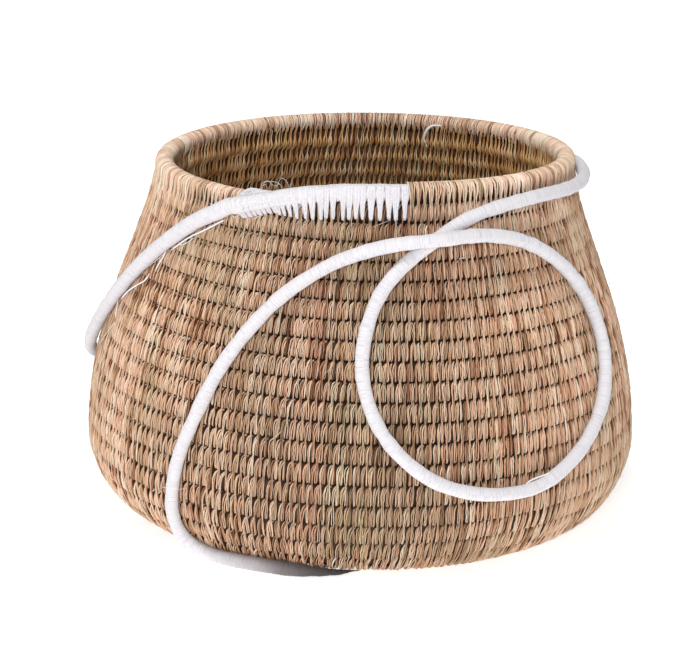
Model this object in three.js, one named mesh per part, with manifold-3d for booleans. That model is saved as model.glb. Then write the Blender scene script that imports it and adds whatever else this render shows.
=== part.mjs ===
// A coiled grass basket in the shape of a round cooking pot. One long coil starts under the middle
// of the base, winds out and up the wall as a rising spiral, and ends as a white cotton-wrapped cord
// that leaves the rim and is drawn over the outside in long curves and one open loop.
// Millimetres, +Z up. The origin is the middle of the underside, and the front of the pot is -Y.
// Seen from above, the coil climbs clockwise. Azimuths are degrees from +X towards +Y.
import * as THREE from "three";
import Module from "manifold-3d";

const wasm = await Module();
wasm.setup();

// Outside of the pot: a flat underside, a low belly and a neck that straightens towards the rim
const baseRadius = 164;
const bellyRadius = 200;
const bellyHeight = 44;
const neckRadius = 149.5;
const rimHeight = 257;
// The hand-made wall stands a little lower at the back than at the front, by this much at the rim
const rimDip = 4;
// How far the outline runs on in its own direction at the base, the belly and the neck
const baseReach = 26;
const underBellyReach = 10;
const overBellyReach = 98;
const neckReach = 46;
const neckDrawIn = 6;

// The coil
const knotRadius = 6.5;
const coilThickness = 12;
const rowPitch = 14.4;
const rimRowPitch = 12.1;
const evenRowsHeight = 27;
const gap = 0.3;
const seamAzimuth = -78.75;
const facetsPerTurn = 24;

// The white cord, which is a coil too: it lies on the rim, its middle a little inside the outer face,
// rolls off it slowly at first, and runs over the wall
const whiteDiameter = 11.2;
const cordDiameter = 9.2;
const thinningLength = 190;
const tipDiameter = 3;
const tipLength = 56;
const rollAzimuth = -84;
const leavingAzimuth = -123.75;
const leavingDrop = 4.8;
const rimInset = 5;
const rollEasing = 1.6;
const rimStepAngle = 4.5;
const cordStep = 24;
const cordClearance = 0.7;

// White stitches that tie the start of the white coil down over the row below it
const stitchCount = 17;
const stitchesPerFacet = 8;
const stitchWidth = 3.2;
const stitchTipWidth = 1.4;
const stitchThickness = 0.9;
const stitchTipHeight = 1.2;
const fadingStitches = 7;
const fadedStitchLength = 5;

// Colours of the dried grass, the start knot and the cotton
const grassColours = ["#b8946a", "#ad8a62", "#bf9b73"];
const knotColour = "#9c7b55";
const cottonColour = "#f1eeea";

const radians = THREE.MathUtils.degToRad;
const degreesPerFacet = 360 / facetsPerTurn;
const octagonCut = (1 - Math.tan(Math.PI / 8)) / 2;

// Outline of the outside, from the middle of the underside to the rim: x is the radius, y the height
const outline = new THREE.CurvePath();
outline.add(new THREE.LineCurve(new THREE.Vector2(0, 0), new THREE.Vector2(baseRadius, 0)));
outline.add(new THREE.CubicBezierCurve(
  new THREE.Vector2(baseRadius, 0),
  new THREE.Vector2(baseRadius + baseReach, 0),
  new THREE.Vector2(bellyRadius, bellyHeight - underBellyReach),
  new THREE.Vector2(bellyRadius, bellyHeight),
));
outline.add(new THREE.CubicBezierCurve(
  new THREE.Vector2(bellyRadius, bellyHeight),
  new THREE.Vector2(bellyRadius, bellyHeight + overBellyReach),
  new THREE.Vector2(neckRadius - neckDrawIn, rimHeight - neckReach),
  new THREE.Vector2(neckRadius, rimHeight),
));
const outlineLength = outline.getLength();

// Point of the wall at an azimuth, so far along the outline and so deep inside its outer face
function wallPoint(azimuth, along, depth) {
  const share = along / outlineLength;
  const point = outline.getPoint(share);
  const tangent = outline.getTangent(share);
  const radius = point.x - depth * tangent.y;
  const dip = (rimDip / 2) * (point.y / rimHeight) * Math.sin(radians(azimuth));
  const height = point.y + depth * tangent.x - dip;
  return new THREE.Vector3(radius * Math.cos(radians(azimuth)), radius * Math.sin(radians(azimuth)), height);
}

function wallNormal(azimuth, along) {
  return wallPoint(azimuth, along, -1).sub(wallPoint(azimuth, along, 0));
}

// How far along the outline a point lies that stands off the wall by a distance, at a height
function alongBeside(height, distance) {
  let low = 0;
  let high = outlineLength;
  for (let i = 0; i < 40; i++) {
    const middle = (low + high) / 2;
    if (wallPoint(0, middle, -distance).z < height) low = middle;
    else high = middle;
  }
  return (low + high) / 2;
}

// Edges of the rows along the outline: even under the belly, then closing up towards the rim
const evenEdge = alongBeside(evenRowsHeight, 0);
const evenTurns = Math.round((evenEdge - knotRadius) / rowPitch);
const closingTurns = Math.round((2 * (outlineLength - evenEdge)) / (rowPitch + rimRowPitch));
const grassTurns = evenTurns + closingTurns - 1;

function rowEdge(turn) {
  if (turn <= evenTurns) return knotRadius + ((evenEdge - knotRadius) * turn) / evenTurns;
  const share = (turn - evenTurns) / closingTurns;
  const risen = 2 * rowPitch * share - (rowPitch - rimRowPitch) * share ** 2;
  return evenEdge + ((outlineLength - evenEdge) * risen) / (rowPitch + rimRowPitch);
}

function azimuthAt(turn) {
  return seamAzimuth - 360 * turn;
}

function turnAt(azimuth) {
  return grassTurns + (seamAzimuth - azimuth) / 360;
}

// Closed solid through rings of points; seen from where the solid runs to, they go anticlockwise
function solidThroughRings(rings) {
  const sides = rings[0].length;
  const last = (rings.length - 1) * sides;
  const index = [];
  for (let start = 0; start < last; start += sides) {
    for (let side = 0; side < sides; side++) {
      const a = start + side;
      const b = start + ((side + 1) % sides);
      index.push(a, b, b + sides, a, b + sides, a + sides);
    }
  }
  for (let side = 1; side < sides - 1; side++) {
    index.push(0, side + 1, side);
    index.push(last, last + side, last + side + 1);
  }
  const geometry = new THREE.BufferGeometry();
  const positions = rings.flat().flatMap((point) => point.toArray());
  geometry.setAttribute("position", new THREE.Float32BufferAttribute(positions, 3));
  geometry.setIndex(index);
  return geometry;
}

function shifted(ring, direction, distance) {
  return ring.map((point) => point.clone().addScaledVector(direction, distance));
}

function clockwise(azimuth) {
  return new THREE.Vector3(Math.sin(radians(azimuth)), -Math.cos(radians(azimuth)), 0);
}

// Eight-sided section of a row, flat towards the rows beside it
function rowSection(turn) {
  const low = rowEdge(turn) + gap / 2;
  const high = rowEdge(turn + 1) - gap / 2;
  const cut = octagonCut * (high - low);
  const deepCut = octagonCut * coilThickness;
  const corners = [
    [low + cut, 0],
    [high - cut, 0],
    [high, deepCut],
    [high, coilThickness - deepCut],
    [high - cut, coilThickness],
    [low + cut, coilThickness],
    [low, coilThickness - deepCut],
    [low, deepCut],
  ];
  return corners.map(([along, depth]) => wallPoint(azimuthAt(turn), along, depth));
}

// One turn of the coil, with ends that stop half a gap short of the seam
function coilTurn(firstTurn) {
  const rings = [];
  for (let facet = 0; facet <= facetsPerTurn; facet++) {
    rings.push(rowSection(firstTurn + facet / facetsPerTurn));
  }
  const onward = clockwise(seamAzimuth);
  rings[0] = shifted(rings[0], onward, gap / 2);
  rings[facetsPerTurn] = shifted(rings[facetsPerTurn], onward, -gap / 2);
  return solidThroughRings(rings);
}

// Start knot: a snail-shaped disc whose step is where the first turn begins
function startKnot() {
  const snail = new THREE.Shape();
  const step = clockwise(seamAzimuth).multiplyScalar(-gap / 2);
  for (let facet = 0; facet <= facetsPerTurn; facet++) {
    const turn = facet / facetsPerTurn;
    const point = wallPoint(azimuthAt(turn), rowEdge(turn) - gap / 2, 0);
    if (facet === facetsPerTurn) point.add(step);
    if (facet === 0) snail.moveTo(point.x, point.y);
    else snail.lineTo(point.x, point.y);
  }
  const foot = wallPoint(seamAzimuth, rowEdge(0) - gap / 2, 0).add(step);
  snail.lineTo(foot.x, foot.y);
  const cut = octagonCut * coilThickness;
  const disc = new THREE.ExtrudeGeometry(snail, {
    depth: coilThickness - 2 * cut,
    bevelEnabled: true,
    bevelThickness: cut,
    bevelSize: cut,
    bevelOffset: -cut,
    bevelSegments: 1,
  });
  return disc.translate(0, 0, cut);
}

// Way the white coil rolls over the outer corner of the rim, from the top of the row to its side.
// x is out from the wall's outer face, y is up from the top edge of the row.
const whiteRadius = whiteDiameter / 2;
const restDistance = whiteRadius + cordClearance;
const rimCut = octagonCut * coilThickness;
const rollOff = new THREE.Path();
rollOff.moveTo(-rimInset, restDistance);
rollOff.lineTo(-rimCut, restDistance);
rollOff.absarc(-rimCut, -rimCut, restDistance + rimCut, Math.PI / 2, 0, true);
rollOff.lineTo(restDistance, -whiteRadius - leavingDrop);

function rolledAt(azimuth) {
  const share = THREE.MathUtils.clamp((azimuth - rollAzimuth) / (leavingAzimuth - rollAzimuth), 0, 1);
  return rollOff.getPointAt(share ** rollEasing);
}

function onRim(azimuth) {
  const rolled = rolledAt(azimuth);
  return wallPoint(azimuth, rowEdge(turnAt(azimuth)) + rolled.y, -rolled.x);
}

// Route of the cord over the wall: azimuth, height of its middle, and how far it lifts off the wall
const leftAndBack = [
  [-128, 232.3, 0],
  [-134, 224, 0],
  [-142, 208.6, 0],
  [-150, 189.8, 0],
  [-159.5, 162.3, 0],
  [-168, 134, 0],
  [-175.5, 112.5, 0],
  [-183.5, 95.5, 0],
  [-195, 78, 0],
  [-209, 67, 0],
  [-224, 65.5, 0],
  [-240, 78, 0],
  [-257, 105, 0],
  [-275, 139.5, 0],
  [-292, 173, 0],
  [-308, 202, 0],
  [-324, 224.4, 0],
  [-339, 236.3, 0],
  [-351, 239.4, 0],
  [-362, 238.8, 0],
  [-373, 239.2, 0],
];
// The same over the front, a turn further on; the loop passes over its own start at -72 degrees
const front = [
  [-23, 240.2, 0],
  [-42, 242.4, 0],
  [-55, 240.2, 0],
  [-64, 235, 0],
  [-72, 224.3, 0],
  [-81.5, 206.2, 0],
  [-86.8, 187.5, 0],
  [-89.7, 158.5, 0],
  [-89.2, 133, 0],
  [-85.3, 103.5, 0],
  [-77.8, 78, 0],
  [-71, 66.5, 0],
  [-63, 60.6, 0],
  [-54, 61, 0],
  [-45.5, 72, 0],
  [-38.4, 87.5, 0],
  [-32.8, 107, 0],
  [-29.4, 132, 0],
  [-29.2, 151.5, 0],
  [-31, 171, 0],
  [-35.3, 189.5, 0],
  [-41.7, 204.8, 0.5],
  [-49.7, 216.6, 1.5],
  [-57.9, 223, 3.5],
  [-64, 225.5, 6.6],
  [-68.5, 226, 9.2],
  [-72, 225.7, 10.2],
  [-76, 224.7, 9.4],
  [-80.5, 223.2, 6.4],
  [-86, 219.6, 2.3],
  [-92, 214.3, 0.5],
  [-98, 206.8, 0],
  [-108.4, 184.7, 0],
  [-117.8, 146, 0],
  [-123.7, 99.6, 0],
  [-126.4, 71.2, 0],
  [-127.4, 47.5, 0],
  [-127.5, 31, 0],
  [-127, 18, 0],
  [-125.3, 9, 0],
  [-122, 5.3, 0.3],
  [-117.5, 5.1, 0.9],
  [-112, 5.1, 0.2],
  [-106, 4.8, 0],
  [-100.5, 4, 0],
  [-95, 2.7, 0],
  [-89.5, 1.8, 0],
];

const leavingHeight = onRim(leavingAzimuth).z;
const route = [[leavingAzimuth, leavingHeight, 0], ...leftAndBack];
route.push(...front.map(([azimuth, height, lift]) => [azimuth - 360, height, lift]));

// The route is smoothed on the unrolled wall and then laid back round the pot
const unrolled = new THREE.CatmullRomCurve3(
  route.map(([azimuth, height, lift]) => new THREE.Vector3(radians(azimuth) * bellyRadius, height, lift)),
  false,
  "centripetal",
);

// The cord thins where it leaves the rim, and again at its tip
function cordRadius(run, wholeRun) {
  const thinned = THREE.MathUtils.smoothstep(run, 0, thinningLength);
  const radius = THREE.MathUtils.lerp(whiteDiameter, cordDiameter, thinned) / 2;
  const pointed = THREE.MathUtils.smoothstep(run, wholeRun - tipLength, wholeRun);
  return THREE.MathUtils.lerp(radius, tipDiameter / 2, pointed);
}

// Middle line of the whole white coil: first over the rim, then along the route
function whiteMiddle() {
  const middle = [];
  const rimSteps = Math.round((seamAzimuth - leavingAzimuth) / rimStepAngle);
  for (let step = 0; step < rimSteps; step++) {
    const azimuth = THREE.MathUtils.lerp(seamAzimuth, leavingAzimuth, step / rimSteps);
    const out = wallNormal(azimuth, rowEdge(turnAt(azimuth)));
    middle.push({ azimuth, radius: whiteRadius, point: onRim(azimuth), out });
  }
  const wholeRun = unrolled.getLength();
  const steps = Math.round(wholeRun / cordStep);
  unrolled.getSpacedPoints(steps).forEach((spot, step) => {
    const azimuth = THREE.MathUtils.radToDeg(spot.x / bellyRadius);
    const radius = cordRadius((step / steps) * wholeRun, wholeRun);
    const distance = radius + cordClearance + spot.z;
    const along = alongBeside(spot.y, distance);
    const point = wallPoint(azimuth, along, -distance);
    middle.push({ azimuth, radius, point, out: wallNormal(azimuth, along) });
  });
  return { middle, rimSteps };
}

// Eight-sided rings round the middle line, with one flat towards the wall
function whiteRings(middle) {
  return middle.map(({ azimuth, radius, point, out }, i) => {
    const before = middle[Math.max(i - 1, 0)].point;
    const after = middle[Math.min(i + 1, middle.length - 1)].point;
    const onward = i === 0 ? clockwise(azimuth) : after.clone().sub(before).normalize();
    const side = onward.clone().cross(out).normalize();
    const away = side.clone().cross(onward);
    const ring = [];
    for (let corner = 0; corner < 8; corner++) {
      const angle = ((corner + 0.5) * Math.PI) / 4;
      const reach = radius / Math.cos(Math.PI / 8);
      const spot = point.clone().addScaledVector(away, reach * Math.cos(angle));
      ring.push(spot.addScaledVector(side, reach * Math.sin(angle)));
    }
    return { ring, onward };
  });
}

// Point over a row at an azimuth between two corners of the turn, so that it lies on the flat facet
function facetPoint(azimuth, along, depth) {
  const facets = (seamAzimuth - azimuth) / degreesPerFacet;
  const before = seamAzimuth - Math.floor(facets) * degreesPerFacet;
  const start = wallPoint(before, along, depth);
  return start.lerp(wallPoint(before - degreesPerFacet, along, depth), facets % 1);
}

// One white stitch: a narrow blade from inside the white coil down over the row below
function whiteStitch(number) {
  const azimuth = seamAzimuth - ((number + 0.5) / stitchesPerFacet) * degreesPerFacet;
  const edge = rowEdge(turnAt(azimuth));
  const fullLength = edge - rowEdge(turnAt(azimuth) - 1) - stitchTipHeight;
  const fade = Math.min(1, (stitchCount - 1 - number) / fadingStitches);
  const top = edge + Math.max(rolledAt(azimuth).y, 0);
  const tip = edge - THREE.MathUtils.lerp(fadedStitchLength, fullLength, fade);
  const rings = [[top, stitchWidth], [tip, stitchTipWidth]].map(([along, width]) => {
    const half = THREE.MathUtils.radToDeg(width / 2 / neckRadius);
    return [
      facetPoint(azimuth + half, along, -gap - stitchThickness),
      facetPoint(azimuth - half, along, -gap - stitchThickness),
      facetPoint(azimuth - half, along, -gap),
      facetPoint(azimuth + half, along, -gap),
    ];
  });
  return solidThroughRings(rings);
}

function toManifold(geometry) {
  const vertProperties = new Float32Array(geometry.attributes.position.array);
  const triVerts = new Uint32Array(geometry.index.array);
  return new wasm.Manifold(new wasm.Mesh({ numProp: 3, vertProperties, triVerts }));
}

function fromManifold(solid) {
  const mesh = solid.getMesh();
  const geometry = new THREE.BufferGeometry();
  geometry.setAttribute("position", new THREE.Float32BufferAttribute(mesh.vertProperties, 3));
  geometry.setIndex(Array.from(mesh.triVerts));
  return geometry;
}

const { middle, rimSteps } = whiteMiddle();
const white = whiteRings(middle);

// The part of the white coil that is stitched to the rim, with its stitches
function whiteRimCoil() {
  const rings = white.slice(0, rimSteps + 1).map(({ ring }) => ring);
  rings[0] = shifted(rings[0], white[0].onward, gap / 2);
  rings[rimSteps] = shifted(rings[rimSteps], white[rimSteps].onward, -gap / 2);
  let solid = toManifold(solidThroughRings(rings));
  for (let number = 0; number < stitchCount; number++) {
    solid = solid.add(toManifold(whiteStitch(number)));
  }
  return fromManifold(solid);
}

// The rest of the white coil, from where it leaves the rim to its tip under the base edge
function whiteCord() {
  const rings = white.slice(rimSteps).map(({ ring }) => ring);
  rings[0] = shifted(rings[0], white[rimSteps].onward, gap / 2);
  return solidThroughRings(rings);
}

const basket = new THREE.Group();

function addPiece(name, geometry, color, roughness) {
  const piece = new THREE.Mesh(geometry, new THREE.MeshStandardMaterial({ color, roughness, metalness: 0 }));
  piece.name = name;
  basket.add(piece);
}

// Turns that lie wholly in the flat underside are base turns, and the last one is the rim
function turnName(turn) {
  const baseTurns = Math.floor(((baseRadius - knotRadius) * evenTurns) / (evenEdge - knotRadius));
  if (turn === grassTurns - 1) return "rim_coil";
  if (turn < baseTurns) return `base_coil_${String(turn + 1).padStart(2, "0")}`;
  return `wall_coil_${String(turn - baseTurns + 1).padStart(2, "0")}`;
}

addPiece("start_knot", startKnot(), knotColour, 0.9);
for (let turn = 0; turn < grassTurns; turn++) {
  addPiece(turnName(turn), coilTurn(turn), grassColours[turn % grassColours.length], 0.85);
}
addPiece("white_rim_coil", whiteRimCoil(), cottonColour, 0.8);
addPiece("white_cord", whiteCord(), cottonColour, 0.8);

export default basket;
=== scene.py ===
"""Looks of a coiled grass basket in the shape of a cooking pot.

One long bundle of dried grass winds out from the middle of the base and up the wall. Grass stitches
bind each row to the row below. The end of the bundle is wrapped in white cotton: it lies on the rim,
rolls off it and is drawn over the wall as a cord.
Metres, +Z up, origin in the middle of the underside, front at -Y. Azimuths are degrees from +X to +Y.
"""
import math

import bpy
import numpy as np
from mathutils import Matrix, Vector


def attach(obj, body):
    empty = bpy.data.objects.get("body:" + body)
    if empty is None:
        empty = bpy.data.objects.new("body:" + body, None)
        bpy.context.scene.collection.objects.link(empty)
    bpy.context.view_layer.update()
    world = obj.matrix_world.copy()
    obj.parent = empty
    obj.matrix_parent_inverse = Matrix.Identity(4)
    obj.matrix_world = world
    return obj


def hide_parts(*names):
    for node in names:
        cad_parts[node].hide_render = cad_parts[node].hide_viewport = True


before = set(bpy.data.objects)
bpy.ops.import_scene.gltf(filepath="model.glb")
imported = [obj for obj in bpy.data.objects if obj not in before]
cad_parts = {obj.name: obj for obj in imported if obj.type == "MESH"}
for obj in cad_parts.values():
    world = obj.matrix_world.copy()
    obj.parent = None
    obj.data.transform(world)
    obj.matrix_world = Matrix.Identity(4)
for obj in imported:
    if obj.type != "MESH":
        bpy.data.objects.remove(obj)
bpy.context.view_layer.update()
random_seed = 11
rng = np.random.default_rng(random_seed)
mm = 0.001
# Strands under the base stay so far above the floor
above_floor = 0.05 * mm

# The pot's outline, as in the solids
base_radius = 0.164
belly_radius = 0.200
belly_height = 0.044
neck_radius = 0.1495
rim_height = 0.257
rim_dip = 0.004
base_reach = 0.026
under_belly_reach = 0.010
over_belly_reach = 0.098
neck_reach = 0.046
neck_draw_in = 0.006

# The coil, as in the solids
knot_radius = 0.0065
coil_thickness = 0.012
row_pitch = 0.0144
rim_row_pitch = 0.0121
even_rows_height = 0.027
seam_azimuth = -78.75

# The white coil and cord, as in the solids
white_radius = 0.0056
cord_radius = 0.0046
tip_radius = 0.0015
thinning_length = 0.190
tip_length = 0.056
cord_clearance = 0.0007
roll_azimuth = -84
leaving_azimuth = -123.75
leaving_drop = 0.0048
rim_inset = 0.005
roll_easing = 1.6

# The cord's route over the wall: azimuth, height of its middle, lift off the wall
left_and_back = [
    (-128, 0.2323, 0), (-134, 0.224, 0), (-142, 0.2086, 0), (-150, 0.1898, 0), (-159.5, 0.1623, 0),
    (-168, 0.134, 0), (-175.5, 0.1125, 0), (-183.5, 0.0955, 0), (-195, 0.078, 0), (-209, 0.067, 0),
    (-224, 0.0655, 0), (-240, 0.078, 0), (-257, 0.105, 0), (-275, 0.1395, 0), (-292, 0.173, 0),
    (-308, 0.202, 0), (-324, 0.2244, 0), (-339, 0.2363, 0), (-351, 0.2394, 0), (-362, 0.2388, 0),
    (-373, 0.2392, 0),
]
front = [
    (-23, 0.2402, 0), (-42, 0.2424, 0), (-55, 0.2402, 0), (-64, 0.235, 0), (-72, 0.2243, 0),
    (-81.5, 0.2062, 0), (-86.8, 0.1875, 0), (-89.7, 0.1585, 0), (-89.2, 0.133, 0), (-85.3, 0.1035, 0),
    (-77.8, 0.078, 0), (-71, 0.0665, 0), (-63, 0.0606, 0), (-54, 0.061, 0), (-45.5, 0.072, 0),
    (-38.4, 0.0875, 0), (-32.8, 0.107, 0), (-29.4, 0.132, 0), (-29.2, 0.1515, 0), (-31, 0.171, 0),
    (-35.3, 0.1895, 0), (-41.7, 0.2048, 0.0005), (-49.7, 0.2166, 0.0015), (-57.9, 0.223, 0.0035),
    (-64, 0.2255, 0.0066), (-68.5, 0.226, 0.0092), (-72, 0.2257, 0.0102), (-76, 0.2247, 0.0094),
    (-80.5, 0.2232, 0.0064), (-86, 0.2196, 0.0023), (-92, 0.2143, 0.0005), (-98, 0.2068, 0),
    (-108.4, 0.1847, 0), (-117.8, 0.146, 0), (-123.7, 0.0996, 0), (-126.4, 0.0712, 0),
    (-127.4, 0.0475, 0), (-127.5, 0.031, 0), (-127, 0.018, 0), (-125.3, 0.009, 0),
    (-122, 0.0053, 0.0003), (-117.5, 0.0051, 0.0009), (-112, 0.0051, 0.0002), (-106, 0.0048, 0),
    (-100.5, 0.004, 0), (-95, 0.0027, 0), (-89.5, 0.0018, 0),
]

# The thread round the white coil and cord, and the lumps beneath it
thread_step = 0.42 * mm
thread_sides = 18
thread_roughness = 0.11 * mm
lump_spacing = 0.006
lump_size = 0.17 * mm
# Painted shadow greys the cord's end where it lies under the belly, and the end runs out to a point.
# Both start so far before its tip.
painted_shadow_length = 0.110
pointed_length = 0.016
point_thinning = 0.8
tip_rise = 1.5 * mm

# Stitches. A station of a stitch is: share of its row's height (below 0 on the row beneath), depth of its
# outside in mm inside the wall's outer face, width in mm, and shift to the right in mm. A stitch comes
# out of the seam above its row, leans over, crosses the seam below as a narrow bar and widens again
# between the stitches of the row beneath.
stitch_pitch = 4.45 * mm
strand_thickness = 1.2 * mm
outer_strands = 3
outer_stitch = [
    (0.99, 3.6, 2, 2.5),
    (0.96, 2.3, 2.8, 1.95),
    (0.89, 1.5, 3.1, 1.3),
    (0.79, 1, 3.1, 0.75),
    (0.68, 0.6, 2.8, 0.35),
    (0.54, 0.2, 2.6, 0.1),
    (0.38, 0, 2.3, 0),
    (0.2, 0.1, 1.8, 0),
    (0.06, 0.3, 1.4, 0),
    (-0.07, 0.3, 1.4, 0),
    (-0.22, 0, 1.9, 0),
    (-0.42, 0, 2.3, -0.05),
    (-0.62, 0.1, 2.3, -0.1),
    (-0.83, 0.3, 2.2, -0.2),
    (-0.94, 0.8, 1.8, -0.3),
    (-0.99, 2.6, 1.2, -0.35),
]
# The same over the rim: from the seam inside, up, over the top and down over two rows
rim_wrap_azimuth = -98
rim_wrap_strands = 4
rim_wrap = [
    (0.14, 10.6, 1, 0.2),
    (0.22, 12, 1.5, 0.1),
    (0.34, 12.3, 2, 0),
    (0.44, 12.4, 3.2, 0),
    (0.54, 12.4, 4.3, 0),
    (0.7, 12.2, 4.7, 0),
    (0.84, 11, 4.8, 0),
    (0.96, 9, 4.9, 0),
    (1.02, 6.2, 4.9, 0),
    (0.98, 3.6, 4.7, 0),
    (0.88, 1.5, 4.4, 0),
    (0.73, 0.4, 3.8, 0),
    (0.55, 0, 3.2, 0),
    (0.36, 0.1, 2.7, 0),
    (0.12, 0.4, 2, 0),
    (-0.08, 0.4, 1.8, 0),
    (-0.24, 0.1, 2.1, 0),
    (-0.44, 0, 2.3, 0),
    (-0.64, 0.1, 1.9, -0.1),
    (-0.82, 0.6, 1.4, -0.3),
    (-0.92, 1.4, 1, -0.4),
    (-0.97, 3.4, 0.6, -0.4),
]
# Inside, where each stitch swells over the middle of its row and crosses the seam above as a narrow bar
inner_pitch_ratio = 1.05
inner_strands = 2
inner_stitch = [
    (-0.04, 10.8, 0.9, 0.9),
    (0.08, 12.2, 1.5, 0.6),
    (0.2, 13, 2.7, 0.3),
    (0.34, 13.8, 4, 0),
    (0.5, 14.1, 4.3, 0),
    (0.66, 13.7, 3.3, 0),
    (0.8, 12.9, 2.2, -0.1),
    (0.94, 12.4, 1.9, -0.3),
    (1.1, 12.3, 1.9, -0.6),
    (1.26, 12.4, 1.7, -0.9),
    (1.38, 12, 1.3, -1.1),
    (1.48, 10.8, 0.9, -1.2),
]
# How the stitches differ: factors of their size, strands and shift, then lean, waves and depth in mm, and
# how far they slip by share of their row's height. A strand fills a share of its part of the stitch.
stitch_sizes = (0.82, 1.18)
strand_parts = (0.5, 1.5)
stitch_shifts = (0.6, 1.4)
stitch_lean = 0.35
strand_lean = 0.2
strand_wave = 0.12
inner_strand_wave = 0.15
strand_fill = 0.84
rim_wrap_fill = 0.9
stitch_sinking = 0.9
strand_unevenness = 0.06
stitch_slip = 0.025
strand_slip = 0.02
# Shares of a step by which the next stitch differs, and by which it shifts to lie between two stitches
# of the row below
pitch_spread = 0.07
pitch_shift = 0.3
# Where the wall turns under the belly its front stands out a little: azimuth and bulge in mm, and the
# stretch of the outline that bulges
under_bulge = [(-180, 0), (-142, 0), (-120, 1.8), (-98, 1.2), (0, 1.2), (40, 0), (180, 0)]
bulge_from = 0.158
bulge_to = 0.206

# The grass bundle: how deep it lies inside the wall's outer and inner face, under its stitches, and how
# much of its row's height it fills. Rows press into each other, but the rim's stays under its wraps.
outer_cover = 2.2 * mm
inner_cover = 1.2 * mm
bundle_fullness = 1.04
rim_bundle_fullness = 0.95
# Its outside shows only deep between the stitches and is painted dark as shade; its inside is lighter
bundle_outer_shade_tone = 0.1
bundle_inner_tone = 0.35
bundle_sides = 16
bundle_steps = 120

# Start knot: height and inset of its disc's corners in mm, and its stitches over both faces: share of
# the way out and depth in mm
knot_disc = [(0.9, 2.5), (2.2, -0.3), (9.8, -0.3), (11.1, 2.5)]
knot_disc_steps = 61
knot_stitch_count = 26
knot_eye = 1.2 * mm
knot_stitch = [(0, 0.9), (0.2, 0.1), (0.5, 0.0), (0.8, 0.2), (1.0, 1.6)]
knot_stitch_overlap = 0.8 * mm
knot_stitch_width = 2.6 * mm
knot_stitch_thickness = 0.8 * mm
knot_stitch_bottom = 0.1 * mm

# Azimuths of the white stitches that tie the white coil down over the row below it, from the seam to
# the left. From the first longer one on they reach further down, and from the first short one they shrink.
white_stitches = [
    -79.95, -82.2, -83.9, -86.15, -88.35, -90.45, -92.05, -93.75, -95.25, -97.7, -99.45, -100.7, -102.75,
    -104.55, -106.75, -108.45, -110, -111.35, -112.45, -114.1, -115.5, -116.95, -118.35, -119.85, -121.35,
]
white_stitch_width = 3.5 * mm
white_stitch_tip = 1.2 * mm
first_longer_stitch = 6
longer_by = 1.8 * mm
first_short_stitch = 15
short_stitch = 5 * mm
short_stitch_slant = 1 * mm
short_stitch_widening = 0.9
white_stitch_tail = 4.8 * mm
last_stitch_tail = 3.4 * mm
# Places of a white stitch: angles round the white coil, then shares of the way down the wall, with the
# width at each of them and at its end
angles_round_coil = (75, 45, 15, -20)
shares_down = (0.3, 0.55, 0.78, 0.93)
white_stitch_taper = [1.4, 1.5, 1.55, 1.5, 1.2, 0.92, 0.8, 0.66, 0.46]
over_white_coil = 0.3 * mm
over_rim = 1 * mm
over_row = 1.1 * mm
end_sunk = 0.6 * mm
middle_strand_rise = 0.15 * mm
white_strand_thickness = 0.7 * mm

# White thread that is wound round the rim itself where the white coil rolls off it, stations as above
first_white_wrap = -103
last_white_wrap = -121.5
white_wrap_step = 0.45
white_wrap = [
    (0.4, 11.8, 1.5, 2),
    (0.52, 12.9, 1.5, 1.6),
    (0.7, 12.9, 1.5, 1.2),
    (0.9, 11.8, 1.5, 0.6),
    (1.07, 9.6, 1.5, 0),
    (1.16, 6.4, 1.5, -1.2),
    (1.11, 3.4, 1.5, -2.6),
    (0.92, 0.8, 1.5, -4.4),
    (0.74, -0.5, 1.5, -6.0),
    (0.54, -0.9, 1.5, -7.4),
    (0.34, 0.3, 1.2, -8.4),
]

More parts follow.
